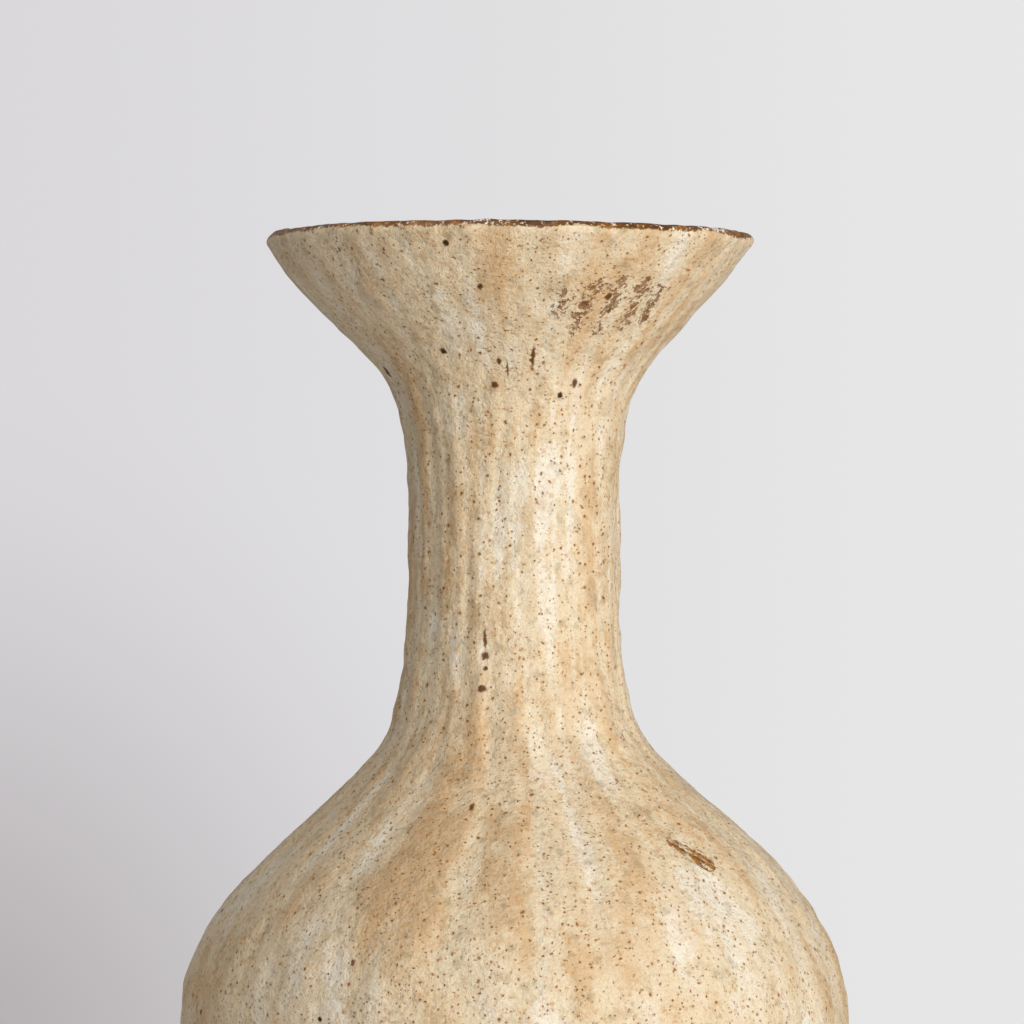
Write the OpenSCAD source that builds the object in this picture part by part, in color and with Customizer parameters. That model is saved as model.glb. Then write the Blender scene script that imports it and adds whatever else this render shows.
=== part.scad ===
// Stoneware bottle vase with a trumpet mouth.
// It is thrown in sections, luted together with slip, and glazed inside and out.
// The profile stands on the XZ plane, the axis is Z, and the foot rests at Z = 0.

/* [Overall] */
// Height of the whole vase, over the coat on its lip; the neck takes up any change
vase_h = 275; // [240:1:340]
// Widest diameter of the clay, at the seam of the belly
belly_d = 150; // [125:1:185]
// Diameter of the mouth, over its coats
rim_d = 110; // [90:1:140]

/* [Foot] */
// Outer diameter of the foot ring where it meets the bowl
foot_d = 82; // [65:1:100]
// Height of the foot ring
foot_h = 7; // [4:0.5:12]
// Thickness of the foot ring, from its outside to its recess
foot_wall = 8; // [6:0.5:14]
// How far both sides of the foot ring draw in towards the table
foot_taper = 1; // [0:0.1:2]
// Radius of the foot ring's two lower edges
foot_round = 1.6; // [0.8:0.1:2]

/* [Bowl] */
// How far the trimmed band below the glaze spreads out past the foot ring
bare_spread = 5; // [2:0.5:12]
// Height of the trimmed band, from the foot seam to where the outer glaze stops
bare_h = 5.2; // [3:0.1:12]
// Thickness of the floor at its middle
floor_t = 7; // [5:0.5:9]
// Thickness of the wall where the bowl leaves the floor
bowl_wall = 7; // [5:0.5:9]
// Lean of the bowl from upright where the glaze stops
bowl_lean = 46; // [30:1:60]
// Share of the bowl's curve that keeps the lean of its lower end
bowl_spread = 0.3; // [0.1:0.01:0.5]
// Share of the bowl's curve that stays upright below the belly
bowl_fullness = 0.42; // [0.2:0.01:0.6]
// Share of the floor that stays flat before it turns up into the wall
floor_flat = 0.5; // [0.2:0.01:0.8]
// Share of the floor's curve that already follows the wall
floor_turn = 0.12; // [0.05:0.01:0.25]

/* [Belly and shoulder] */
// Height of the belly seam, the widest place
belly_z = 96; // [80:1:120]
// Thickness of the wall at the belly seam
belly_wall = 5; // [3.5:0.1:7]
// Height from the belly seam to the neck seam
shoulder_h = 65; // [50:1:80]
// Share of the shoulder's curve that stays upright above the belly
shoulder_fullness = 0.43; // [0.25:0.01:0.6]
// Share of the shoulder's curve that follows the neck
shoulder_sweep = 0.21; // [0.1:0.01:0.4]

/* [Neck] */
// Outer diameter of the clay at the neck seam
neck_base_d = 57; // [52:0.5:70]
// Lean of the wall towards the axis at the neck seam
neck_base_lean = 26; // [10:1:40]
// Thickness of the wall at the neck seam
neck_base_wall = 4.6; // [3.5:0.1:6]
// Narrowest outer diameter of the neck's clay
waist_d = 46.6; // [38:0.1:56]
// Height from the waist to the mouth seam
waist_drop = 36; // [20:1:45]
// Share of the lower neck's curve that keeps the lean of the neck seam
neck_foot_sweep = 0.25; // [0.1:0.01:0.4]
// Share of the lower neck's curve that stays upright below the waist
neck_low_straight = 0.2; // [0.1:0.01:0.5]
// Share of the upper neck's curve that stays upright above the waist
neck_high_straight = 0.1; // [0.05:0.01:0.5]
// Share of the upper neck's curve that follows the mouth
neck_top_sweep = 0.31; // [0.1:0.01:0.4]
// Thickness of the wall at the waist, which leaves a straight throat inside
waist_wall = 3.8; // [3:0.1:5.5]
// Height from the neck seam to the lower end of the straight throat
throat_rise = 19; // [14:1:24]
// Height from the upper end of the straight throat to the mouth seam
throat_drop = 15; // [10:1:20]

/* [Mouth] */
// Height from the mouth seam to the top of the lip
mouth_h = 34; // [28:1:42]
// Outer diameter of the clay at the mouth seam
mouth_base_d = 56; // [52:0.5:64]
// Lean of the wall outward at the mouth seam
mouth_base_lean = 32; // [20:1:42]
// Thickness of the wall at the mouth seam
mouth_base_wall = 4.2; // [3.2:0.1:5.5]
// Share of the mouth's curve that keeps the lean of its seam
mouth_low_sweep = 0.31; // [0.15:0.01:0.45]
// Share of the mouth's curve that keeps the lean of the rim
mouth_high_sweep = 0.5; // [0.3:0.01:0.6]
// Lean of the wall outward at the rim
rim_lean = 33; // [15:1:45]
// Thickness of the clay at the lip, which is rounded over
lip_t = 2.8; // [2:0.1:4]

/* [Slip and coats] */
// Thickness of each slip seam, along the wall
slip_t = 0.8; // [0.5:0.1:1.5]
// Thickness of the glaze and of the wash on the lip
glaze_t = 0.5; // [0.3:0.1:0.8]
// Angle above level at which the outer glaze gives way to the wash on the lip
wash_edge = 20; // [5:1:40]

/* [Hidden] */

// Share of the sweeps at both ends of the throat that keeps the lean of its end
throat_sweep = 0.3;

// Straight pieces in one curve of the wall, in one rounded edge, and in one turn about the axis
curve_steps = 14;
edge_steps = 5;
turn_steps = 120;

CLAY = "#b59878";
SLIP = "#a78a6b";
CREAM = "#dcc6a2";
LINER = "#d3bd9a";
IRON = "#6b4526";

// Direction up a wall that leans outward by this angle, and the direction square out of it
function up(lean) = [sin(lean), cos(lean)];
function out(lean) = [cos(lean), -sin(lean)];

// A station is a point on the profile with the lean of the wall there.
// This cubic curve runs from station a to station b, and leaves each along its lean.
function bend(a, b, pull_a, pull_b) =
    let (span = norm(b[0] - a[0]))
    let (p0 = a[0])
    let (p1 = a[0] + pull_a * span * up(a[1]))
    let (p2 = b[0] - pull_b * span * up(b[1]))
    let (p3 = b[0])
    [for (i = [0 : curve_steps])
        let (t = i / curve_steps)
        let (u = 1 - t)
        let (point = u * u * u * p0 + 3 * u * u * t * p1 + 3 * u * t * t * p2 + t * t * t * p3)
        let (way = u * u * (p1 - p0) + 2 * u * t * (p2 - p1) + t * t * (p3 - p2))
        [point, atan2(way[0], way[1])]
    ];

// The station further up a straight wall, past a seam
function past_seam(station) = [station[0] + slip_t * up(station[1]), station[1]];

// The path moved square out of the wall, by one distance at its start and another at its end
function moved(path, start, end) =
    let (last = len(path) - 1)
    [for (i = [0 : last])
        [path[i][0] + (start + (end - start) * i / last) * out(path[i][1]), path[i][1]]
    ];

// Two paths that share the station where they meet, as one
function chain(a, b) = concat(a, [for (i = [1 : len(b) - 1]) b[i]]);

function points(path) = [for (station = path) station[0]];
function reversed(list) = [for (i = [len(list) - 1 : -1 : 0]) list[i]];
function first(path) = path[0];
function last(path) = path[len(path) - 1];
function but_last(path) = [for (i = [0 : len(path) - 2]) path[i]];

// Points round an arc, from one angle to another
function arc(centre, radius, from, to) =
    [for (i = [0 : edge_steps])
        let (angle = from + (to - from) * i / edge_steps)
        centre + radius * [cos(angle), sin(angle)]
    ];

// Stations round the lip, from one angle above level to another
lip_r = lip_t / 2;
lip_centre = [rim_d / 2 - glaze_t - lip_r, vase_h - glaze_t - lip_r];
function lip_arc(from, to) =
    [for (i = [0 : edge_steps])
        let (angle = from + (to - from) * i / edge_steps)
        [lip_centre + lip_r * out(-angle), -angle]
    ];

// Heights that follow from the sizes
bowl_z = foot_h + slip_t;
floor_z = bowl_z + floor_t;
neck_z = belly_z + shoulder_h;
mouth_z = vase_h - mouth_h;
waist_z = mouth_z - waist_drop;
throat_r = waist_d / 2 - waist_wall;

// Stations where the sections begin and end, on the outside of the clay
glaze_line = [[foot_d / 2 + bare_spread, bowl_z + bare_h], bowl_lean];
bowl_top = [[belly_d / 2, belly_z - slip_t], 0];
dome_foot = past_seam(bowl_top);
dome_top = [[neck_base_d / 2, neck_z], -neck_base_lean];
neck_foot = past_seam(dome_top);
waist = [[waist_d / 2, waist_z], 0];
neck_top = [[mouth_base_d / 2, mouth_z], mouth_base_lean];
mouth_foot = past_seam(neck_top);
rim = [lip_centre + lip_r * out(rim_lean), rim_lean];

// Outside of the clay, section by section
bowl_out = bend(glaze_line, bowl_top, bowl_spread, bowl_fullness);
dome_out = bend(dome_foot, dome_top, shoulder_fullness, shoulder_sweep);
neck_out = chain(bend(neck_foot, waist, neck_foot_sweep, neck_low_straight),
    bend(waist, neck_top, neck_high_straight, neck_top_sweep));
mouth_out = bend(mouth_foot, rim, mouth_low_sweep, mouth_high_sweep);
lip_low = lip_arc(-rim_lean, wash_edge);
lip_top = chain(lip_arc(wash_edge, 90), lip_arc(90, 180 - rim_lean));

// Inside of the clay, which follows the outside at the wall's thickness
bowl_side_in = moved(bowl_out, -bowl_wall, -belly_wall);
floor_in = bend([[0, floor_z], 90], first(bowl_side_in), floor_flat, floor_turn);
bowl_in = chain(floor_in, bowl_side_in);
dome_in = moved(dome_out, -belly_wall, -neck_base_wall);
mouth_in = moved(mouth_out, -mouth_base_wall, -lip_t);

// The throat is straight, and the neck's inside sweeps into it from both of its ends
neck_foot_in = first(moved([neck_foot, neck_foot], -neck_base_wall, -neck_base_wall));
neck_top_in = last(moved([neck_top, neck_top], -mouth_base_wall, -mouth_base_wall));
throat_foot = [[throat_r, neck_z + throat_rise], 0];
throat_top = [[throat_r, mouth_z - throat_drop], 0];
neck_in = concat(bend(neck_foot_in, throat_foot, throat_sweep, throat_sweep),
    bend(throat_top, neck_top_in, throat_sweep, throat_sweep));

// The faces that the coats cover
outside = concat(bowl_out, dome_out, neck_out, chain(mouth_out, lip_low));
inside = concat(bowl_in, dome_in, neck_in, mouth_in);

// A ring whose section lies between two paths that run the same way
module thrown(outer, inner) {
    rotate_extrude(angle = 360, $fn = turn_steps)
        polygon(concat(points(outer), reversed(points(inner))));
}

// A seam of slip between the end of one section and the start of the next
module seam(low, high, wall) {
    thrown([low, high], moved([low, high], -wall, -wall));
}

// The turned ring of bare clay that stands on the table
module foot_ring() {
    outer_r = foot_d / 2;
    inner_r = outer_r - foot_wall;
    outer_edge = [outer_r - foot_taper - foot_round, foot_round];
    inner_edge = [inner_r + foot_taper + foot_round, foot_round];
    color(CLAY)
        rotate_extrude(angle = 360, $fn = turn_steps)
            polygon(concat([[inner_r, foot_h]], arc(inner_edge, foot_round, 180, 270),
                arc(outer_edge, foot_round, 270, 360), [[outer_r, foot_h]]));
}

// The slip that holds the foot ring to the bowl
module foot_slip() {
    color(SLIP)
        rotate_extrude(angle = 360, $fn = turn_steps)
            translate([foot_d / 2 - foot_wall, foot_h])
                square([foot_wall, slip_t]);
}

// The lower half of the body, thrown with its floor, and trimmed bare above the foot
module lower_bowl() {
    trimmed = concat([[0, bowl_z], [foot_d / 2, bowl_z]], points(bowl_out));
    color(CLAY)
        rotate_extrude(angle = 360, $fn = turn_steps)
            polygon(concat(trimmed, reversed(points(bowl_in))));
}

module belly_slip() {
    color(SLIP) seam(bowl_top, dome_foot, belly_wall);
}

// The upper half of the body, from the belly up to the neck
module shoulder_dome() {
    color(CLAY) thrown(dome_out, dome_in);
}

module neck_slip() {
    color(SLIP) seam(dome_top, neck_foot, neck_base_wall);
}

// The neck, collared in to a waist outside and to a straight throat inside
module neck_tube() {
    color(CLAY) thrown(neck_out, neck_in);
}

module mouth_slip() {
    color(SLIP) seam(neck_top, mouth_foot, mouth_base_wall);
}

// The trumpet mouth, rounded over at its lip
module flared_mouth() {
    color(CLAY) thrown(chain(chain(mouth_out, lip_low), but_last(lip_top)), mouth_in);
}

// The glaze on the outside, from above the foot to the outer edge of the lip
module outer_glaze() {
    color(CREAM) thrown(moved(outside, glaze_t, glaze_t), outside);
}

// The liner glaze, from the middle of the floor to the inner edge of the lip
module inner_glaze() {
    color(LINER) thrown(inside, moved(inside, -glaze_t, -glaze_t));
}

// The iron wash over the top of the lip, between the two glazes
module lip_wash() {
    color(IRON) thrown(moved(lip_top, glaze_t, glaze_t), lip_top);
}

foot_ring();
foot_slip();
lower_bowl();
belly_slip();
shoulder_dome();
neck_slip();
neck_tube();
mouth_slip();
flared_mouth();
outer_glaze();
inner_glaze();
lip_wash();
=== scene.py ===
import math

import bmesh
import bpy
from mathutils import Matrix, Vector, noise


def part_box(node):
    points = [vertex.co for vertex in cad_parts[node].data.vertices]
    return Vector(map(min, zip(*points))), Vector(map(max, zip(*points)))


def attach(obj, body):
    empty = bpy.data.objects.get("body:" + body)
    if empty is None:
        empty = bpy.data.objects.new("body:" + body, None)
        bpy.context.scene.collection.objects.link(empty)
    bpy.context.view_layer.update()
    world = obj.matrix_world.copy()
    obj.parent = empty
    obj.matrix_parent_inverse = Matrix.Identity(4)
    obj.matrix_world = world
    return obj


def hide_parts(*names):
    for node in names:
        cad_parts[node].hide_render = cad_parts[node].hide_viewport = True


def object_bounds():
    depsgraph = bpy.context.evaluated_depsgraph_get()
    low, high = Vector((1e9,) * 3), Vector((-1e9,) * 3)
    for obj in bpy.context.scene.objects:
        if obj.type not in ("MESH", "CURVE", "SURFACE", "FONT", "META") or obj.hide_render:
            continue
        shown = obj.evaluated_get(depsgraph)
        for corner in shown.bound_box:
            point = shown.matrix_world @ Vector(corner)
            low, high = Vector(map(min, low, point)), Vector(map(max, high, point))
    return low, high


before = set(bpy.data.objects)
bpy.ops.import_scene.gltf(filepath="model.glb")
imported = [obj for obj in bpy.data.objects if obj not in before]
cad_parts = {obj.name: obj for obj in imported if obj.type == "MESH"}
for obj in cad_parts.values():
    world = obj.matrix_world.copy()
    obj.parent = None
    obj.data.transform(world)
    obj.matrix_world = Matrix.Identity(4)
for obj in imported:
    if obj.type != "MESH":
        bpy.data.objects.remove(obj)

mm = 0.001

cadLow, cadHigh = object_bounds()
potTop = cadHigh.z
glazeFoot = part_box("outer_glaze")[0].z
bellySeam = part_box("belly_slip")[1].z
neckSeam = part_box("neck_slip")[1].z
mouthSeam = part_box("mouth_slip")[1].z
print("frame read: pot stands", round(potTop / mm), "mm high")


# sections of the CAD rings

def sectionOf(nodeName):
    # half of the ring's cut through its axis, as a wire on +X
    wire = bmesh.new()
    wire.from_mesh(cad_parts[nodeName].data)
    bmesh.ops.remove_doubles(wire, verts=wire.verts, dist=1e-6)
    bmesh.ops.bisect_plane(wire, geom=wire.verts[:] + wire.edges[:] + wire.faces[:], dist=1e-6,
                           plane_co=(0, 0, 0), plane_no=(0, 1, 0), clear_inner=True, clear_outer=True)
    bmesh.ops.bisect_plane(wire, geom=wire.verts[:] + wire.edges[:], dist=1e-6,
                           plane_co=(0, 0, 0), plane_no=(1, 0, 0), clear_inner=True)
    bmesh.ops.remove_doubles(wire, verts=wire.verts, dist=1e-6)
    return wire


def walkRound(wire):
    # the wire's vertices in order, from the axis if it ends there, clay side kept on the left
    ends = [v for v in wire.verts if len(v.link_edges) == 1]
    first = min(ends or wire.verts, key=lambda v: (v.co.z, v.co.x))
    path, edge = [first], first.link_edges[0]
    while True:
        nextVert = edge.other_vert(path[-1])
        if nextVert is first:
            break
        path.append(nextVert)
        onward = [e for e in nextVert.link_edges if e is not edge]
        if not onward:
            break
        edge = onward[0]
    area = sum(a.co.x * b.co.z - b.co.x * a.co.z for a, b in zip(path, path[1:] + path[:1]))
    if area < 0:
        path.reverse()
    return path


def radiiByHeight(nodeName, pick):
    # the ring's outermost or innermost radius at every millimetre of height
    wire = sectionOf(nodeName)
    radii = []
    for step in range(round(potTop / mm) + 1):
        found = []
        for edge in wire.edges:
            low, high = sorted((v.co for v in edge.verts), key=lambda co: co.z)
            if low.z <= step * mm <= high.z and high.z > low.z:
                found.append(low.x + (high.x - low.x) * (step * mm - low.z) / (high.z - low.z))
        radii.append(pick(found) if found else None)
    wire.free()
    return radii


outerRadii = radiiByHeight("outer_glaze", max)
innerRadii = radiiByHeight("inner_glaze", min)


def radiusAt(radii, height, missing):
    step = min(max(height / mm, 0), len(radii) - 1.001)
    low, high = radii[int(step)], radii[int(step) + 1]
    if low is None or high is None:
        return missing
    return low + (high - low) * (step - int(step))


# what the potter's hands left in the clay, the same for every layer of the wall

handMarks = {
    # leans: height, reach, how far to the right, how far back
    "leans": [(95 * mm, 26 * mm, 0.5 * mm, 0), (142 * mm, 20 * mm, 1.6 * mm, -0.4 * mm),
              (200 * mm, 34 * mm, 0.45 * mm, 0), (262 * mm, 13 * mm, -1.0 * mm, 0.3 * mm)],
    "slimming": 0.45 * mm,
    "oval": 0.004,
    "neckRidges": 0.42 * mm,
    "shoulderRidges": 0.9 * mm,
    "bellyRidges": 0.55 * mm,
    "footRidges": 0.1 * mm,
    "mouthRidges": 0.3 * mm,
    "dents": 0.5 * mm,
    "lumps": 0.46 * mm,
    "crumbs": 0.3 * mm,
    "wheelRings": 0.25 * mm,
    "wheelRise": 6.5 * mm,
    "rimWobble": 0.55 * mm,
    "seamPinch": 0.25 * mm,
    # where the slimming and the dents are strongest: height, reach
    "slimAt": (105 * mm, 45 * mm),
    "dentsAt": (110 * mm, 60 * mm),
    # how fine each noise is round the pot, and upwards
    "wanderScale": (1.5, 30),
    "ridgeScale": (7, 26),
    "rippleScale": (13, 60),
    "broadScale": (4, 15),
    # sizes of lumps and dents: how fine across, how fine upwards, a shift, the share of each
    "lumpSizes": ((150, 110, 0, 1), (370, 290, 0, 0.65)),
    "dentSizes": ((24, 20, 3, 1), (60, 42, 9, 0.45)),
    "crumbSizes": ((430, 430, 0, 1),),
    # waves round the pot: how fine, a shift, the share of each
    "rimWaves": ((1.1, 2.2, 1), (4.5, 8.1, 0.35), (17, 4.4, 0.4)),
    "pinchWaves": ((3, 5, 1),),
}


def smoothStep(low, high, value):
    share = min(max((value - low) / (high - low), 0), 1)
    return share * share * (3 - 2 * share)


def bump(centre, reach, value):
    return math.exp(-((value - centre) / reach) ** 2)


def ridgeHeight(z):
    # how deep the upright ridges run at this height
    marks = handMarks
    depth = marks["footRidges"]
    depth += (marks["bellyRidges"] - depth) * smoothStep(bellySeam - 50 * mm, bellySeam, z)
    depth += (marks["shoulderRidges"] - depth) * smoothStep(bellySeam, bellySeam + 35 * mm, z)
    depth += (marks["neckRidges"] - depth) * smoothStep(neckSeam - 8 * mm, neckSeam + 12 * mm, z)
    depth += (marks["mouthRidges"] - depth) * smoothStep(mouthSeam - 12 * mm, mouthSeam + 10 * mm, z)
    return depth * (1 - smoothStep(potTop - 9 * mm, potTop - 2 * mm, z))


def noiseRound(cosine, sine, height, scale, aside=0, back=0, shift=0):
    # noise that meets itself round the pot
    around, upwards = scale
    return noise.noise(Vector((cosine * around + aside, sine * around + back, height * upwards + shift)))


def wavesRound(cosine, sine, waves):
    total = 0
    for around, shift, share in waves:
        total += share * noise.noise(Vector((cosine * around, sine * around, shift)))
    return total


def lumpsAt(co, sizes):
    total = 0
    for across, upwards, shift, share in sizes:
        total += share * noise.noise(Vector((co.x * across, co.y * across, co.z * upwards + shift)))
    return total


def reliefAt(co):
    # the ridges, lumps and dents of the outside, outwards from the turned shape
    marks = handMarks
    turn = math.atan2(co.y, co.x)
    cosine, sine = math.cos(turn), math.sin(turn)
    wander = 0.9 * noiseRound(cosine, sine, co.z, marks["wanderScale"])
    fine = noiseRound(cosine, sine, co.z, marks["ridgeScale"], aside=wander)
    fine += 0.3 * noiseRound(cosine, sine, co.z, marks["rippleScale"], back=wander)
    broad = noiseRound(cosine, sine, co.z, marks["broadScale"], back=wander, shift=7)
    relief = ridgeHeight(co.z) * (fine + broad * 0.8)
    relief += marks["lumps"] * lumpsAt(co, marks["lumpSizes"])
    crumb = lumpsAt(co, marks["crumbSizes"])
    relief += marks["crumbs"] * crumb * smoothStep(potTop - 4 * mm, potTop - 1.5 * mm, co.z)
    dent = lumpsAt(co, marks["dentSizes"])
    relief += marks["dents"] * dent * (0.3 + 0.7 * bump(*marks["dentsAt"], co.z))
    relief -= marks["slimming"] * bump(*marks["slimAt"], co.z)
    pinch = bump(bellySeam, 4 * mm, co.z) + 0.8 * bump(mouthSeam, 3 * mm, co.z)
    relief -= marks["seamPinch"] * pinch * (0.5 + wavesRound(cosine, sine, marks["pinchWaves"]))
    return relief


def shapedByHand(co):
    radius = math.hypot(co.x, co.y)
    turn = math.atan2(co.y, co.x)
    cosine, sine = math.cos(turn), math.sin(turn)
    outside = radiusAt(outerRadii, co.z, radius)
    inside = radiusAt(innerRadii, co.z, 0)
    depth = min(max((outside - radius) / max(outside - inside, mm), 0), 1)
    relief = reliefAt(Vector((cosine * outside, sine * outside, co.z)))

    # rings from the wheel, only on the inside
    rings = handMarks["wheelRings"] * math.sin(co.z / handMarks["wheelRise"] * math.tau + turn)
    rings *= smoothStep(20 * mm, 35 * mm, co.z) * (1 - smoothStep(mouthSeam, potTop, co.z))

    move = relief * (1 - depth) + (rings + relief * 0.35) * depth
    move *= smoothStep(0, 8 * mm, radius) * smoothStep(0, 16 * mm, co.z)
    oval = 1 + handMarks["oval"] * math.cos(2 * turn + co.z * 9)
    grown = (radius * oval + move) / radius if radius > 0 else 1
    x, y, z = co.x * grown, co.y * grown, co.z
    for height, reach, sideways, deep in handMarks["leans"]:
        x += sideways * bump(height, reach, co.z)
        y += deep * bump(height, reach, co.z)
    wobble = wavesRound(cosine, sine, handMarks["rimWaves"])
    z += handMarks["rimWobble"] * (wobble - 0.9) * smoothStep(potTop - 22 * mm, potTop, co.z)
    return Vector((x, y, z))


doublings = 4


def turnOnWheel(wire, steps):
    # a part of the turn is spun and then doubled until it closes, which is quicker than one long spin
    parts = 2 ** doublings
    arc = math.tau / parts
    bmesh.ops.spin(wire, geom=wire.verts[:] + wire.edges[:], cent=(0, 0, 0), axis=(0, 0, 1),
                   dvec=(0, 0, 0), angle=arc, steps=steps // parts, use_merge=False,
                   use_duplicate=False)
    for doubling in range(doublings):
        copied = bmesh.ops.duplicate(wire, geom=wire.verts[:] + wire.edges[:] + wire.faces[:])["geom"]
        copiedVerts = [g for g in copied if isinstance(g, bmesh.types.BMVert)]
        bmesh.ops.rotate(wire, verts=copiedVerts, cent=(0, 0, 0),
                         matrix=Matrix.Rotation(arc * 2 ** doubling, 3, "Z"))
    bmesh.ops.remove_doubles(wire, verts=wire.verts, dist=1e-6)
    bmesh.ops.recalc_face_normals(wire, faces=wire.faces)


thinnedEdge = 1.2 * mm
pinnedEdge = 1.0 * mm


def refineWire(wire, look):
    # runs that show get more points and are eased into curves, and hidden ones are thinned
    seen = wire.verts.layers.float.new("seen")
    pinned = wire.verts.layers.float.new("pinned")
    path = walkRound(wire)
    for before, here, after in zip(path[-1:] + path[:-1], path, path[1:] + path[:1]):
        run = after.co - before.co
        out = Vector((run.z, 0, -run.x))  # points out of the solid, as the path keeps it on the left
        here[seen] = look["shows"](out.normalized())
    if look.get("thin"):
        inner = [v for v in path if all(u[seen] == 0 for e in v.link_edges for u in e.verts)]
        spare = [v for i, v in enumerate(inner) if i % 3 and
                 min(e.calc_length() for e in v.link_edges) > thinnedEdge]
        bmesh.ops.dissolve_verts(wire, verts=spare)
    for vert in wire.verts:
        shortest = min(e.calc_length() for e in vert.link_edges)
        hidden = any(u[seen] == 0 for e in vert.link_edges for u in e.verts)
        vert[pinned] = hidden or shortest < pinnedEdge or len(vert.link_edges) < 2
    for cuts in range(12, 0, -1):
        long = [e for e in wire.edges if e.calc_length() > (cuts + 0.3) * look["row"]]
        long = [e for e in long if all(v[seen] for v in e.verts)]
        if long:
            bmesh.ops.subdivide_edges(wire, edges=long, cuts=cuts)
    free = [v for v in wire.verts if v[pinned] < 0.99]
    for easing in range(look["ease"]):
        bmesh.ops.smooth_vert(wire, verts=free, factor=0.5, use_axis_x=True, use_axis_z=True)


uvMargin = 0.01
uvSpan = 1 - 2 * uvMargin


def unwrapRound(rings, along):
    # one clean map: round the axis one way, along the section the other
    uv = rings.loops.layers.uv.new("OFBake")
    for face in rings.faces:
        middle = face.calc_center_median()
        middleTurn = math.atan2(middle.y, middle.x) / math.tau
        for loop in face.loops:
            co = loop.vert.co
            turn = math.atan2(co.y, co.x) / math.tau if co.xy.length > 1e-7 else middleTurn
            turn += round(middleTurn - turn)
            loop[uv].uv = (0.5 + turn * uvSpan, loop.vert[along])


cornerAngle = math.radians(50)
thinRow = 0.06 * mm
reliefUnit = 0.25 * mm


def cutAcross(wire, height, keepAbove):
    # the section is parted at a height, with a thin row on each side so that both halves shade alike
    for aside in (-thinRow, thinRow, 0):
        bmesh.ops.bisect_plane(wire, geom=wire.verts[:] + wire.edges[:], dist=1e-7,
                               plane_co=(0, 0, height + aside), plane_no=(0, 0, 1),
                               clear_inner=keepAbove and not aside,
                               clear_outer=not keepAbove and not aside)
    ends = [v for v in wire.verts if len(v.link_edges) == 1]
    wire.edges.new(ends)


def makePiece(nodeName, pieceName, look, height=None, keepAbove=False):
    wire = sectionOf(nodeName)
    refineWire(wire, look)
    if height:
        cutAcross(wire, height, keepAbove)
    along = wire.verts.layers.float.new("along")
    path = walkRound(wire)
    lengths = [0]
    for a, b in zip(path, path[1:]):
        lengths.append(lengths[-1] + (b.co - a.co).length)
    for vert, length in zip(path, lengths):
        vert[along] = uvMargin + uvSpan * length / lengths[-1]
    turnOnWheel(wire, look["turns"])
    for face in wire.faces:
        face.smooth = True
    for edge in wire.edges:
        edge.smooth = edge.calc_face_angle(0) < cornerAngle
    unwrapRound(wire, along)
    wire.verts.layers.float.remove(wire.verts.layers.float["along"])
    relief = wire.verts.layers.float.new("relief")
    belowRim = wire.verts.layers.float.new("belowRim")
    for vert in wire.verts:
        vert[relief] = reliefAt(vert.co) / reliefUnit
        vert[belowRim] = (potTop - vert.co.z) / mm
        vert.co = shapedByHand(vert.co)
    mesh = bpy.data.meshes.new(pieceName)
    wire.to_mesh(mesh)
    wire.free()
    piece = bpy.data.objects.new(pieceName, mesh)
    bpy.context.scene.collection.objects.link(piece)
    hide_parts(nodeName)
    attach(piece, "root")
    print("turned", pieceName, len(mesh.polygons), "faces")
    return piece


def facesOut(out):
    return out.x > 0.02


def facesIn(out):
    return out.x < -0.02 or out.z > 0.5


def everySide(out):
    return True


# the glaze coat is made in two halves, parted where the outline runs straight
glazeParting = neckSeam - 15 * mm
outerLook = {"row": 1.5 * mm, "ease": 5, "turns": 384, "shows": facesOut, "thin": True}
innerLook = {"row": 2.4 * mm, "ease": 4, "turns": 288, "shows": facesIn, "thin": True}
lipLook = {"row": 0.5 * mm, "ease": 2, "turns": 768, "shows": facesOut}
footLook = {"row": 1.0 * mm, "ease": 0, "turns": 256, "shows": everySide}
bowlLook = {"row": 3.0 * mm, "ease": 4, "turns": 256, "shows": everySide}
clayLook = {"row": 4.0 * mm, "ease": 4, "turns": 192, "shows": everySide}
seamLook = {"row": 2.0 * mm, "ease": 0, "turns": 192, "shows": everySide}

upperGlaze = makePiece("outer_glaze", "upperGlaze", outerLook, glazeParting, True)
lowerGlaze = makePiece("outer_glaze", "lowerGlaze", outerLook, glazeParting, False)
innerGlaze = makePiece("inner_glaze", "innerGlaze", innerLook)
lipWash = makePiece("lip_wash", "lipWash", lipLook)
footRing = makePiece("foot_ring", "footRing", footLook)
footSlip = makePiece("foot_slip", "footSlip", seamLook)
lowerBowl = makePiece("lower_bowl", "lowerBowl", bowlLook)
bellySlip = makePiece("belly_slip", "bellySlip", seamLook)
shoulderDome = makePiece("shoulder_dome", "shoulderDome", clayLook)
neckSlip = makePiece("neck_slip", "neckSlip", seamLook)
neckTube = makePiece("neck_tube", "neckTube", clayLook)
mouthSlip = makePiece("mouth_slip", "mouthSlip", seamLook)
flaredMouth = makePiece("flared_mouth", "flaredMouth", clayLook)


# shader nodes

def addNode(tree, kind, inputs=None, **settings):
    made = tree.nodes.new("ShaderNode" + kind)
    for key, value in settings.items():
        setattr(made, key, value)
    for key, value in (inputs or {}).items():
        if isinstance(value, bpy.types.NodeSocket):
            tree.links.new(value, made.inputs[key])
        else:
            made.inputs[key].default_value = value
    return made


def colour(hexCode):
    # a colour as it is seen, in Blender's linear values
    seen = [int(hexCode[i:i + 2], 16) / 255 for i in (0, 2, 4)]
    return [c / 12.92 if c <= 0.04045 else ((c + 0.055) / 1.055) ** 2.4 for c in seen] + [1]


def calc(tree, operation, a, b=0.0, clamp=False):
    return addNode(tree, "Math", {0: a, 1: b}, operation=operation, use_clamp=clamp).outputs[0]


def between(tree, value, low, high):
    # 0 below low, 1 above high, eased
    return addNode(tree, "MapRange", {"Value": value, "From Min": low, "From Max": high},
                   interpolation_type="SMOOTHSTEP").outputs["Result"]


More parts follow.
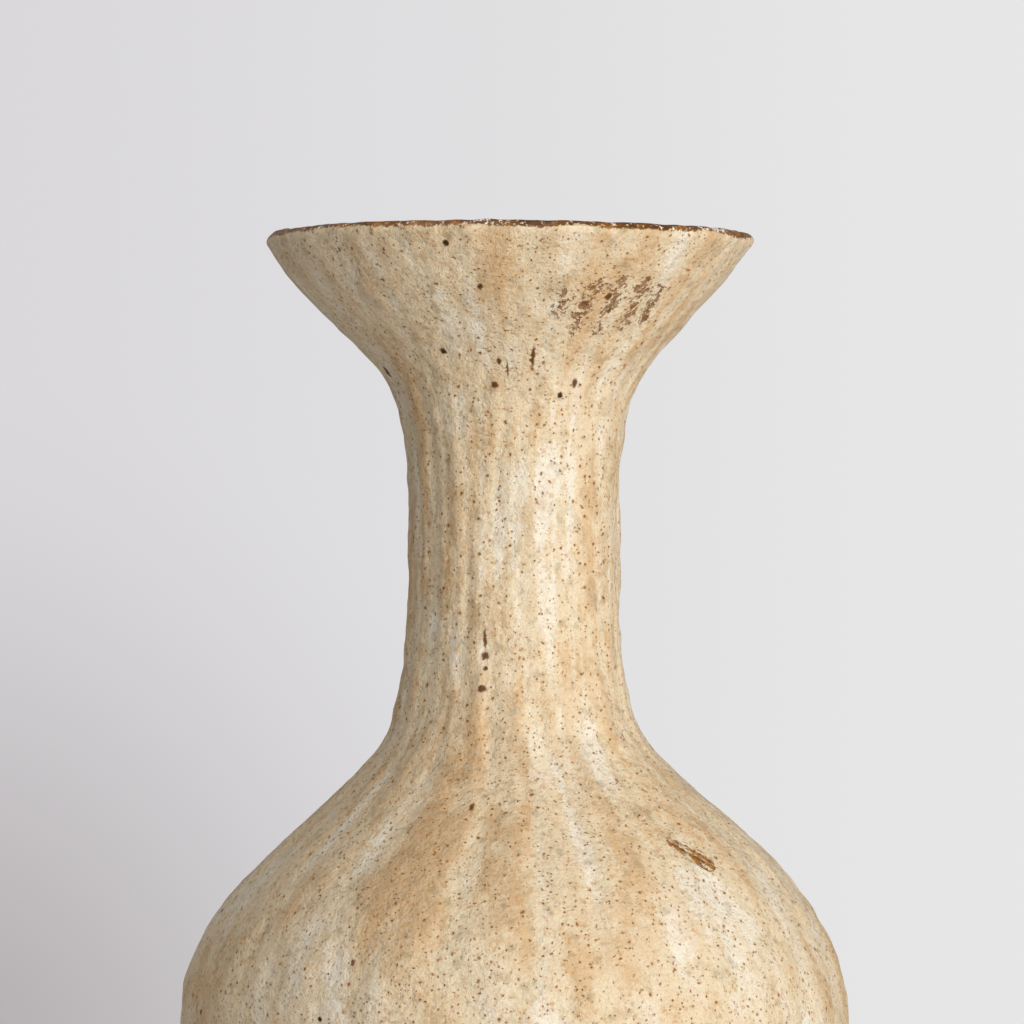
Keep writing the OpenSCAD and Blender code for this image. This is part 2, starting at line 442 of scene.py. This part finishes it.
def mixColour(tree, share, a, b):
    return addNode(tree, "Mix", {0: share, 6: a, 7: b}, data_type="RGBA").outputs[2]


def tint(tree, base, where, strength, hexCode):
    # the base taken part of the way to a colour, where the mask says
    return mixColour(tree, calc(tree, "MULTIPLY", where, strength), base, colour(hexCode))


def weighted(tree, *parts):
    # a sum of values, each with its weight
    total = calc(tree, "MULTIPLY", *parts[0])
    for value, weight in parts[1:]:
        total = calc(tree, "ADD", total, calc(tree, "MULTIPLY", value, weight))
    return total


def centred(tree, value):
    return calc(tree, "SUBTRACT", value, 0.5)


def noiseAt(tree, vector, scale, detail=2.0, roughness=0.5):
    return addNode(tree, "TexNoise", {"Vector": vector, "Scale": scale, "Detail": detail,
                                      "Roughness": roughness}).outputs["Fac"]


def newGroup(name, inputs, outputs):
    group = bpy.data.node_groups.new(name, "ShaderNodeTree")
    for socketName, kind, default in inputs:
        socket = group.interface.new_socket(socketName, in_out="INPUT", socket_type=kind)
        if default is not None:
            socket.default_value = default
    for socketName, kind in outputs:
        group.interface.new_socket(socketName, in_out="OUTPUT", socket_type=kind)
    return group, group.nodes.new("NodeGroupInput"), group.nodes.new("NodeGroupOutput")


def useGroup(tree, group, inputs):
    made = tree.nodes.new("ShaderNodeGroup")
    made.node_tree = group
    for key, value in inputs.items():
        if isinstance(value, bpy.types.NodeSocket):
            tree.links.new(value, made.inputs[key])
        else:
            made.inputs[key].default_value = value
    return made.outputs


def buildUprightFlow():
    # a place read as turn and height, so that a pattern runs up the pot and fans over the shoulder
    group, ins, outs = newGroup("uprightFlow",
                                [("Place", "NodeSocketVector", None), ("Around", "NodeSocketFloat", 6.0),
                                 ("Along", "NodeSocketFloat", 25.0)], [("Flow", "NodeSocketVector")])
    split = addNode(group, "SeparateXYZ", {"Vector": ins.outputs["Place"]}).outputs
    flat = addNode(group, "CombineXYZ", {"X": split["X"], "Y": split["Y"]}).outputs[0]
    unit = addNode(group, "VectorMath", {0: flat}, operation="NORMALIZE").outputs[0]
    wide = addNode(group, "VectorMath", {0: unit, 3: ins.outputs["Around"]}, operation="SCALE").outputs[0]
    rise = calc(group, "MULTIPLY", split["Z"], ins.outputs["Along"])
    up = addNode(group, "CombineXYZ", {"Z": rise}).outputs[0]
    flow = addNode(group, "VectorMath", {0: wide, 1: up}, operation="ADD").outputs[0]
    group.links.new(flow, outs.inputs["Flow"])
    return group


def buildIronSpecks():
    # specks of iron, each with its own size and tone, and a soft halo where it bleeds
    group, ins, outs = newGroup("ironSpecks",
                                [("Place", "NodeSocketVector", None), ("Scale", "NodeSocketFloat", 400.0),
                                 ("Size", "NodeSocketFloat", 0.2), ("Share", "NodeSocketFloat", 0.5)],
                                [("Core", "NodeSocketFloat"), ("Halo", "NodeSocketFloat"),
                                 ("Tone", "NodeSocketFloat")])
    cells = addNode(group, "TexVoronoi", {"Vector": ins.outputs["Place"], "Scale": ins.outputs["Scale"]})
    chance = addNode(group, "SeparateColor", {"Color": cells.outputs["Color"]}).outputs
    size = calc(group, "MULTIPLY", ins.outputs["Size"], calc(group, "ADD", chance[0], 0.35))
    ratio = calc(group, "DIVIDE", cells.outputs["Distance"], size)
    kept = calc(group, "LESS_THAN", chance[1], ins.outputs["Share"])
    core = calc(group, "MULTIPLY", between(group, ratio, 1.05, 0.6), kept)
    halo = calc(group, "MULTIPLY", between(group, ratio, 2.2, 0.7), kept)
    group.links.new(core, outs.inputs["Core"])
    group.links.new(halo, outs.inputs["Halo"])
    group.links.new(chance[2], outs.inputs["Tone"])
    return group


def buildBrokenPatch():
    # an oval patch, placed and turned by its Mapping, where the glaze has skipped in ragged marks
    group, ins, outs = newGroup("brokenPatch",
                                [("Place", "NodeSocketVector", None),
                                 ("Inside", "NodeSocketVector", None),
                                 ("Grain", "NodeSocketFloat", 380.0), ("Cover", "NodeSocketFloat", 0.5),
                                 ("Columns", "NodeSocketFloat", 0.0)],
                                [("Mark", "NodeSocketFloat")])
    reach = addNode(group, "VectorMath", {0: ins.outputs["Inside"]}, operation="LENGTH").outputs["Value"]
    patch = between(group, reach, 1.1, 0.75)
    marks = noiseAt(group, ins.outputs["Place"], ins.outputs["Grain"], 2.0, 0.6)
    clumps = noiseAt(group, ins.outputs["Place"], calc(group, "MULTIPLY", ins.outputs["Grain"], 0.3), 1.0)
    level = weighted(group, (marks, 0.55), (clumps, 0.45))
    across = addNode(group, "SeparateXYZ", {"Vector": ins.outputs["Inside"]}).outputs["X"]
    column = calc(group, "COSINE", calc(group, "MULTIPLY", across, ins.outputs["Columns"]))
    level = calc(group, "ADD", level, calc(group, "MULTIPLY", calc(group, "SUBTRACT", column, 1.0), 0.06))
    level = calc(group, "ADD", level, calc(group, "MULTIPLY", calc(group, "SUBTRACT", patch, 1.0), 0.4))
    edge = calc(group, "SUBTRACT", 1.0, ins.outputs["Cover"])
    mark = between(group, level, edge, calc(group, "ADD", edge, 0.05))
    group.links.new(mark, outs.inputs["Mark"])
    return group


uprightFlow = buildUprightFlow()
ironSpecks = buildIronSpecks()
brokenPatch = buildBrokenPatch()


def newMaterial(name):
    material = bpy.data.materials.new(name)
    material.use_nodes = True
    tree = material.node_tree
    tree.nodes.clear()
    shader = addNode(tree, "BsdfPrincipled")
    output = addNode(tree, "OutputMaterial")
    tree.links.new(shader.outputs["BSDF"], output.inputs["Surface"])
    place = addNode(tree, "TexCoord").outputs["Object"]
    return material, tree, shader, place


def onSkin(turn, height):
    # a point on the outside, at a turn in degrees from the front, to the right, and a height
    radius = radiusAt(outerRadii, height * mm, 0)
    angle = math.radians(turn)
    return (math.sin(angle) * radius, -math.cos(angle) * radius, height * mm)


spotDepth = 12 * mm


def placedAt(tree, place, turn, height, tilt, size):
    # the place measured from a spot on the skin, turned with it
    return addNode(tree, "Mapping", {"Vector": place, "Location": onSkin(turn, height),
                                     "Rotation": (0, math.radians(tilt), math.radians(turn)),
                                     "Scale": size}, vector_type="TEXTURE").outputs[0]


def insideOf(tree, place, turn, height, wide, tall, tilt=0):
    # the place as seen from a spot on the skin, one unit long at the spot's edge
    return placedAt(tree, place, turn, height, tilt, (wide / 2 * mm, spotDepth, tall / 2 * mm))


def spotMask(tree, inside, soft=0.5):
    reach = addNode(tree, "VectorMath", {0: inside}, operation="LENGTH").outputs["Value"]
    return between(tree, reach, 1.0 + soft, 1.0 - soft)


def bumpNormal(tree, level, depth, strength=1.0):
    return addNode(tree, "Bump", {"Strength": strength, "Distance": depth,
                                  "Height": level}).outputs["Normal"]


def raggedPlace(tree, place, scale, reach):
    # the place pushed about by a noise, for uneven outlines
    push = addNode(tree, "TexNoise", {"Vector": place, "Scale": scale, "Detail": 2.0}).outputs["Color"]
    push = addNode(tree, "VectorMath", {0: push, 1: (0.5, 0.5, 0.5)}, operation="SUBTRACT").outputs[0]
    push = addNode(tree, "VectorMath", {0: push, 3: reach}, operation="SCALE").outputs[0]
    return addNode(tree, "VectorMath", {0: place, 1: push}, operation="ADD").outputs[0]


def washEdge(tree, place):
    # 1 in the iron of the rim, 0 below its uneven edge
    crumble = centred(tree, noiseAt(tree, place, 800.0, 4.0, 0.7))
    sway = centred(tree, noiseAt(tree, place, 75.0, 2.0))
    below = addNode(tree, "Attribute", attribute_name="belowRim").outputs["Fac"]
    below = weighted(tree, (below, 1.0), (crumble, 2.4), (sway, 2.6))
    return between(tree, below, 1.35, 1.0)


def scatterSpecks(tree, place, base, look):
    # iron specks in a few sizes, each bleeding a little, and where they pit the glaze
    pits = 0.0
    for scale, size, share in look["speckSizes"]:
        specks = useGroup(tree, ironSpecks, {"Place": place, "Scale": scale, "Size": size,
                                             "Share": share})
        pits = calc(tree, "MAXIMUM", pits, specks["Core"])
        base = tint(tree, base, specks["Halo"], look["bleed"], look["halo"])
        rusty = between(tree, specks["Tone"], 0.35, 0.6)
        ink = mixColour(tree, rusty, colour(look["speck"]), colour(look["rust"]))
        ink = mixColour(tree, between(tree, specks["Tone"], 0.18, 0.06), ink, colour(look["moss"]))
        strength = calc(tree, "MULTIPLY", calc(tree, "ADD", specks["Tone"], 1.2), look["inking"] / 2)
        base = mixColour(tree, calc(tree, "MULTIPLY", specks["Core"], strength), base, ink)
    return base, pits


glazeLook = {
    # the bloom white is thick glaze, and also the colour of the painted highlight on the neck
    "cream": "e3cfad", "whiteAndHighlight": "ece1cc", "tan": "d8b78c", "honey": "dab487", "grey": "b0a288",
    "ochre": "c99a60", "speck": "5a3710", "rust": "9c5c16", "moss": "787258", "halo": "b87b38",
    "crest": "b7966c", "iron": "6b4019", "freckle": "c68c52", "patch": "7d4d1d", "spot": "301a04",
    "scuff": "a5691c",
    "bleed": 0.42, "inking": 0.92, "bumpDepth": 0.38 * mm,
    "speckSizes": ((1150.0, 0.19, 0.55), (720.0, 0.175, 0.55), (430.0, 0.13, 0.42), (200.0, 0.08, 0.3)),
    "streaks": 8.0, "streakRun": 36.0,
    "blotchScale": 52.0, "clumpScale": 190.0, "mottleScale": 620.0, "grainScale": 2300.0,
    # white patches of thick glaze, the first of them a painted highlight on the lit side of the neck: turn,
    # height, width, height of the patch, strength
    "whitePatchesAndHighlight": [(13, 212, 15, 20, 1.0), (17, 219, 10, 12, 0.7), (26, 192, 8, 18, 0.6),
               (7, 155, 8, 22, 0.8), (32, 157, 14, 16, 0.7), (-24, 234, 14, 9, 0.7), (-20, 250, 20, 9, 0.5),
               (2, 100, 24, 22, 0.5), (40, 98, 20, 24, 0.5), (-40, 118, 10, 34, 0.5),
               (152, 205, 12, 18, 0.8), (198, 128, 26, 20, 0.7), (110, 96, 26, 26, 0.6),
               (255, 62, 30, 24, 0.6), (235, 250, 22, 9, 0.6)],
    "freckles": {"Scale": 560.0, "Size": 0.3, "Share": 0.5},
    "clouds": {"Scale": 360.0, "Size": 0.2, "Share": 0.3},
    # the broken patch: turn, height, width, height of the patch
    "broken": (31, 256.5, 37, 19),
    "brokenMarks": {"Grain": 1250.0, "Cover": 0.535, "Columns": 19.5},
    # scuffs: turn, height, width, height, tilt, cover
    "scuffs": [(47.8, 135.2, 6.5, 6, 34, 0.56), (45, 137.2, 7.5, 5.5, 34, 0.53),
               (42.2, 138.8, 4, 4.5, 34, 0.53), (214, 131, 10, 5, -28, 0.52)],
    "strokeSize": (7 * mm, 7 * mm, 0.9 * mm), "strokeGrain": 2.4,
    # iron spots: turn, height, width, height of the spot, how rusty it is
    "spots": [(-15.6, 269.7, 1.3, 1.2, 0), (-8.6, 260.6, 1.1, 1.1, 0.2), (-27.5, 247, 1.5, 1.3, 0),
              (-5.3, 244.8, 1.1, 1.4, 0.3), (-7.8, 239.6, 1.4, 1.3, 0.4),
              (29.8, 240.1, 1.2, 1.8, 0.4), (23.3, 237.4, 1.1, 1.3, 0),
              (-14.2, 183.4, 0.8, 4.4, 0.6), (-14.2, 179.6, 1.7, 1.7, 0.5),
              (-13.4, 176.8, 0.9, 0.8, 0.5), (-14.8, 172.4, 1.8, 1.4, 0.4),
              (-11.9, 147.1, 1.0, 1.6, 0.7), (-29.2, 115.1, 0.9, 1.4, 1),
              (-67.4, 101.1, 1.3, 1.2, 0), (-34.2, 102.9, 1.0, 1.0, 0), (8.3, 245.6, 0.8, 4.4, 0.4),
              (-71, 243, 1.6, 2.2, 0.2), (-2, 243, 0.5, 3.0, 0.6), (28.9, 258.7, 1.9, 1.4, 0.4),
              (31.5, 255.8, 0.8, 1.6, 0.6), (133, 232, 1.4, 1.8, 0.5), (171, 172, 1.2, 1.4, 0.8),
              (221, 119, 1.3, 1.8, 0.2), (262, 78, 1.3, 1.3, 0), (98, 141, 1.2, 1.5, 0.7)],
}


def makeCreamGlaze():
    look = glazeLook
    material, tree, shader, place = newMaterial("creamGlaze")
    relief = addNode(tree, "Attribute", attribute_name="relief").outputs["Fac"]
    ragged = raggedPlace(tree, place, 700.0, 0.0018)
    crumbly = raggedPlace(tree, place, 1300.0, 0.0009)

    flow = useGroup(tree, uprightFlow, {"Place": ragged, "Around": look["streaks"],
                                        "Along": look["streakRun"]})["Flow"]
    streak = noiseAt(tree, flow, 1.0, 3.0, 0.5)
    blotch = noiseAt(tree, place, look["blotchScale"], 3.0, 0.55)
    clumps = noiseAt(tree, ragged, look["clumpScale"], 5.0, 0.68)
    mottle = noiseAt(tree, place, look["mottleScale"], 3.0, 0.65)
    grain = noiseAt(tree, place, look["grainScale"], 2.0, 0.7)
    height = addNode(tree, "SeparateXYZ", {"Vector": place}).outputs["Z"]
    lower = between(tree, height, neckSeam + 12 * mm, neckSeam - 20 * mm)

    # thick and thin glaze: white where it lies thick, tan where it runs thin over the ridges and low down,
    # and a painted highlight as one white patch on the neck
    thick = weighted(tree, (streak, 0.56), (blotch, 0.2), (clumps, 0.38), (relief, -0.02),
                     (lower, -0.035))
    # white patches of thick glaze; the first one is a painted highlight on the lit side of the neck
    for turn, spotHeight, wide, tall, strength in look["whitePatchesAndHighlight"]:
        patch = spotMask(tree, insideOf(tree, ragged, turn, spotHeight, wide, tall), 0.9)
        thick = calc(tree, "ADD", thick, calc(tree, "MULTIPLY", patch, strength * 0.12))
    base = mixColour(tree, between(tree, thick, 0.44, 0.58), colour(look["tan"]), colour(look["cream"]))
    base = mixColour(tree, between(tree, thick, 0.59, 0.7), base, colour(look["whiteAndHighlight"]))
    base = tint(tree, base, between(tree, clumps, 0.5, 0.66), 0.35, look["honey"])
    base = tint(tree, base, between(tree, clumps, 0.46, 0.32), 0.3, look["grey"])
    base = tint(tree, base, between(tree, mottle, 0.54, 0.68), 0.34, look["ochre"])
    base = tint(tree, base, between(tree, mottle, 0.45, 0.33), 0.28, look["whiteAndHighlight"])
    crest = between(tree, weighted(tree, (relief, 1.0), (mottle, 1.4)), 0.7, 2.4)
    base = tint(tree, base, crest, 0.3, look["crest"])
    grained = calc(tree, "ADD", 0.78, calc(tree, "MULTIPLY", grain, 0.44))
    base = addNode(tree, "VectorMath", {0: base, 3: grained}, operation="SCALE").outputs[0]

    # pale orange freckles and grey clouds under the glaze, then the iron specks
    freckles = useGroup(tree, ironSpecks, {"Place": crumbly, **look["freckles"]})
    base = tint(tree, base, freckles["Core"], 0.4, look["freckle"])
    clouds = useGroup(tree, ironSpecks, {"Place": ragged, **look["clouds"]})
    base = tint(tree, base, clouds["Halo"], 0.3, look["moss"])
    base, pits = scatterSpecks(tree, crumbly, base, look)

    # single iron spots, each with a rusty edge
    for turn, spotHeight, wide, tall, rusty in look["spots"]:
        inside = insideOf(tree, crumbly, turn, spotHeight, wide, tall)
        base = tint(tree, base, spotMask(tree, inside, 0.7), 0.85, look["rust"])
        core = spotMask(tree, inside, 0.3)
        base = tint(tree, base, core, 0.95 - 0.5 * rusty, look["spot"])

    # the patch on the mouth where the glaze has broken into short brown marks
    inside = insideOf(tree, ragged, *look["broken"])
    broken = {"Place": place, "Inside": inside, **look["brokenMarks"]}
    broken = useGroup(tree, brokenPatch, broken)["Mark"]
    uneven = calc(tree, "ADD", 0.25, calc(tree, "MULTIPLY", mottle, 1.1))
    base = tint(tree, base, broken, uneven, look["patch"])

    # the scuffs on the shoulder, of fine slanting strokes
    scuff = 0.0
    for turn, spotHeight, wide, tall, tilt, cover in look["scuffs"]:
        strokes = placedAt(tree, crumbly, turn, spotHeight, tilt + 6, look["strokeSize"])
        inside = insideOf(tree, place, turn, spotHeight, wide, tall, tilt)
        mark = useGroup(tree, brokenPatch, {"Place": strokes, "Inside": inside,
                                            "Grain": look["strokeGrain"], "Cover": cover})["Mark"]
        scuff = calc(tree, "MAXIMUM", scuff, mark)
    base = tint(tree, base, scuff, 0.95, look["scuff"])
    dark = calc(tree, "MULTIPLY", scuff, between(tree, mottle, 0.44, 0.54))
    base = tint(tree, base, dark, 0.65, look["speck"])

    # the rim's iron bleeds down into the glaze
    base = tint(tree, base, washEdge(tree, place), 0.9, look["iron"])
    tree.links.new(base, shader.inputs["Base Color"])
    roughness = calc(tree, "ADD", 0.36, calc(tree, "MULTIPLY", mottle, 0.26))
    tree.links.new(roughness, shader.inputs["Roughness"])
    shader.inputs["Specular IOR Level"].default_value = 0.22
    marks = calc(tree, "MAXIMUM", scuff, broken)
    level = weighted(tree, (mottle, 1.0), (grain, 0.25), (clumps, 3.0), (pits, -0.6), (marks, -0.3))
    tree.links.new(bumpNormal(tree, level, look["bumpDepth"]), shader.inputs["Normal"])
    return material


# fleck is pale glaze over the iron and also a painted glint of highlight on the lip
washLook = {"brown": "98601b", "dark": "5c390f", "orange": "c47e29", "paleFleckAndGlint": "f2e9da", "cream": "d6bd93"}


def makeIronWash():
    look = washLook
    material, tree, shader, place = newMaterial("ironWash")
    clumps = noiseAt(tree, place, 130.0, 5.0, 0.7)
    mottle = noiseAt(tree, place, 900.0, 4.0, 0.7)
    base = mixColour(tree, between(tree, clumps, 0.4, 0.6), colour(look["dark"]), colour(look["brown"]))
    base = mixColour(tree, between(tree, mottle, 0.5, 0.7), base, colour(look["orange"]))
    base = mixColour(tree, between(tree, mottle, 0.46, 0.36), base, colour(look["dark"]))
    # pale flecks where the glaze crept over the iron, crowded in places, which also serve as painted glints
    # of highlight on the lip
    crowd = centred(tree, noiseAt(tree, place, 45.0, 2.0))
    flecksAndGlints = weighted(tree, (noiseAt(tree, place, 900.0, 3.0, 0.7), 1.0), (crowd, 0.7))
    base = mixColour(tree, between(tree, flecksAndGlints, 0.58, 0.63), base, colour(look["paleFleckAndGlint"]))
    base = mixColour(tree, washEdge(tree, place), colour(look["cream"]), base)
    tree.links.new(base, shader.inputs["Base Color"])
    roughness = calc(tree, "ADD", 0.08, calc(tree, "MULTIPLY", mottle, 0.35))
    tree.links.new(roughness, shader.inputs["Roughness"])
    shader.inputs["Specular IOR Level"].default_value = 0.4
    shader.inputs["Coat Weight"].default_value = 0.15
    shader.inputs["Coat Roughness"].default_value = 0.12
    level = weighted(tree, (mottle, 0.5), (clumps, 1.0))
    tree.links.new(bumpNormal(tree, level, 0.5 * mm), shader.inputs["Normal"])
    return material


linerLook = {
    "cream": "e0cba6", "pale": "ebdfc6", "tan": "cfab7d", "honey": "c99f68", "pool": "c8b78f",
    "speck": "4a2b09", "rust": "93561a", "moss": "6e6a50", "halo": "b0834e", "bleed": 0.3, "inking": 0.8,
    "speckSizes": ((760.0, 0.18, 0.4), (430.0, 0.14, 0.4), (210.0, 0.08, 0.25)),
}


def makeLinerGlaze():
    # the inside coat, thinner on the wheel's rings and pooled on the floor
    look = linerLook
    material, tree, shader, place = newMaterial("linerGlaze")
    crumbly = raggedPlace(tree, place, 900.0, 0.0012)
    height = addNode(tree, "SeparateXYZ", {"Vector": place}).outputs["Z"]
    rings = useGroup(tree, uprightFlow, {"Place": crumbly, "Around": 1.2, "Along": 190.0})["Flow"]
    rings = noiseAt(tree, rings, 1.0, 3.0)
    blotch = noiseAt(tree, place, 70.0, 4.0, 0.6)
    mottle = noiseAt(tree, place, 560.0, 3.0, 0.6)
    thick = weighted(tree, (rings, 0.5), (blotch, 0.5))
    base = mixColour(tree, between(tree, thick, 0.4, 0.54), colour(look["tan"]), colour(look["cream"]))
    base = mixColour(tree, between(tree, thick, 0.54, 0.66), base, colour(look["pale"]))
    base = tint(tree, base, between(tree, mottle, 0.52, 0.68), 0.4, look["honey"])
    base = mixColour(tree, between(tree, height, 22 * mm, 15 * mm), base, colour(look["pool"]))
    base, pits = scatterSpecks(tree, crumbly, base, look)
    tree.links.new(base, shader.inputs["Base Color"])
    roughness = calc(tree, "ADD", 0.24, calc(tree, "MULTIPLY", mottle, 0.2))
    tree.links.new(roughness, shader.inputs["Roughness"])
    shader.inputs["Coat Weight"].default_value = 0.15
    level = weighted(tree, (mottle, 1.0), (blotch, 1.0), (pits, -0.3))
    tree.links.new(bumpNormal(tree, level, 0.3 * mm, strength=0.8), shader.inputs["Normal"])
    return material


clayTones = {"clay": "b08c64", "sand": "c8aa82", "toast": "9a6436", "flash": "a9622c", "grog": "4b3320"}
slipTones = {"clay": "98754f", "sand": "a98861", "toast": "8a5f39", "flash": "8f5b30", "grog": "4b3320"}


def makeBareClay(name, tones, grain):
    # fired clay without glaze: sandy, toasted in clouds, and flashed orange close to the glaze's edge
    material, tree, shader, place = newMaterial(name)
    cloud = noiseAt(tree, place, 60.0, 4.0, 0.6)
    sandy = noiseAt(tree, place, 1500.0, 3.0, 0.7)
    height = addNode(tree, "SeparateXYZ", {"Vector": place}).outputs["Z"]
    lines = useGroup(tree, uprightFlow, {"Place": place, "Around": 1.5, "Along": 1500.0})["Flow"]
    lines = noiseAt(tree, lines, 1.0, 2.0)
    base = mixColour(tree, between(tree, sandy, 0.4, 0.62), colour(tones["clay"]), colour(tones["sand"]))
    base = tint(tree, base, between(tree, cloud, 0.45, 0.65), 0.6, tones["toast"])
    uneven = weighted(tree, (height, 1.0), (centred(tree, cloud), 6 * mm))
    flash = between(tree, uneven, glazeFoot - 5 * mm, glazeFoot)
    base = tint(tree, base, flash, 0.65, tones["flash"])
    grog = useGroup(tree, ironSpecks, {"Place": place, "Scale": 620.0, "Size": 0.2, "Share": 0.4})
    base = tint(tree, base, grog["Core"], 0.75, tones["grog"])
    tree.links.new(base, shader.inputs["Base Color"])
    shader.inputs["Roughness"].default_value = 0.85
    level = weighted(tree, (sandy, 0.6), (lines, 0.5), (grog["Core"], -0.3))
    tree.links.new(bumpNormal(tree, level, grain), shader.inputs["Normal"])
    return material


creamGlaze = makeCreamGlaze()
linerGlaze = makeLinerGlaze()
ironWash = makeIronWash()
stonewareClay = makeBareClay("stonewareClay", clayTones, 0.4 * mm)
slipClay = makeBareClay("slipClay", slipTones, 0.2 * mm)

coats = {
    creamGlaze: (upperGlaze, lowerGlaze),
    linerGlaze: (innerGlaze,),
    ironWash: (lipWash,),
    stonewareClay: (footRing, lowerBowl, shoulderDome, neckTube, flaredMouth),
    slipClay: (footSlip, bellySlip, neckSlip, mouthSlip),
}
for material, coated in coats.items():
    for piece in coated:
        piece.data.materials.append(material)
print("fired the glazes")


# studio

studio = {
    "floorRadius": 0.85,
    "floorColour": (0.88, 0.88, 0.885, 1),
    "cameraDistance": 1.087,
    "cameraHeight": 211.5 * mm,
    "lens": 168.5,
    "lightAim": (0, 0, 0.17),
    # lights: name, place, width and height, power
    "lights": [("keyLight", (1.5, -1.95, 0.46), (2.2, 1.6), 64.0),
               ("topLight", (-0.45, -0.5, 1.65), (1.2, 1.2), 7.5),
               ("backLight", (-1.5, 1.6, 1.0), (1.2, 1.2), 1.5)],
    "paleWorld": colour("e7e7e7"),
    "leftWorld": colour("dad8db"),
    "cornerWorld": colour("aca6a8"),
    "cornerAt": (-0.13, 0.985, -0.125),
    "cornerFade": (0.16, -0.02),
    "sideFade": (-0.13, 0.13),
    "glossyWorld": (0.2, 0.2, 0.205, 1),
    "dimWorld": (0.2, 0.195, 0.19, 1),
}


def makeFloor():
    disc = bmesh.new()
    bmesh.ops.create_circle(disc, cap_ends=True, radius=studio["floorRadius"], segments=96)
    mesh = bpy.data.meshes.new("studioFloor")
    disc.to_mesh(mesh)
    disc.free()
    floor = bpy.data.objects.new("studioFloor", mesh)
    bpy.context.scene.collection.objects.link(floor)
    material, tree, shader, place = newMaterial("paleFloor")
    shader.inputs["Base Color"].default_value = studio["floorColour"]
    shader.inputs["Roughness"].default_value = 0.7
    mesh.materials.append(material)


def makeLight(name, place, size, power):
    data = bpy.data.lights.new(name, "AREA")
    data.shape = "RECTANGLE"
    data.size, data.size_y = size
    data.energy = power
    light = bpy.data.objects.new(name, data)
    light.location = place
    look = Vector(studio["lightAim"]) - Vector(place)
    light.rotation_euler = look.to_track_quat("-Z", "Y").to_euler()
    bpy.context.scene.collection.objects.link(light)


def makeWorld():
    world = bpy.data.worlds.new("paleStudio")
    bpy.context.scene.world = world
    world.use_nodes = True
    tree = world.node_tree
    tree.nodes.clear()
    dim = addNode(tree, "Background", {"Color": studio["dimWorld"]}).outputs[0]
    # the backdrop, a little brighter to the right and darker in one low corner
    look = addNode(tree, "TexCoord").outputs["Generated"]
    aside = addNode(tree, "SeparateXYZ", {"Vector": look}).outputs["X"]
    aside = between(tree, aside, *studio["sideFade"])
    backdrop = mixColour(tree, aside, studio["leftWorld"], studio["paleWorld"])
    corner = addNode(tree, "VectorMath", {0: look, 1: studio["cornerAt"]},
                     operation="DISTANCE").outputs["Value"]
    corner = between(tree, corner, *studio["cornerFade"])
    backdrop = mixColour(tree, corner, backdrop, studio["cornerWorld"])
    pale = addNode(tree, "Background", {"Color": backdrop}).outputs[0]
    glossy = addNode(tree, "Background", {"Color": studio["glossyWorld"]}).outputs[0]
    ray = addNode(tree, "LightPath").outputs
    mixed = addNode(tree, "MixShader", {0: ray["Is Glossy Ray"], 1: dim, 2: glossy}).outputs[0]
    mixed = addNode(tree, "MixShader", {0: ray["Is Camera Ray"], 1: mixed, 2: pale}).outputs[0]
    output = addNode(tree, "OutputWorld")
    tree.links.new(mixed, output.inputs["Surface"])


makeFloor()
makeWorld()
for light in studio["lights"]:
    makeLight(*light)

cameraData = bpy.data.cameras.new("camera")
cameraData.lens = studio["lens"]
cameraData.sensor_width = 36
camera = bpy.data.objects.new("camera", cameraData)
camera.location = (0, -studio["cameraDistance"], studio["cameraHeight"])
camera.rotation_euler = (math.radians(90), 0, 0)
bpy.context.scene.collection.objects.link(camera)
bpy.context.scene.camera = camera
bpy.context.scene.view_settings.view_transform = "Standard"
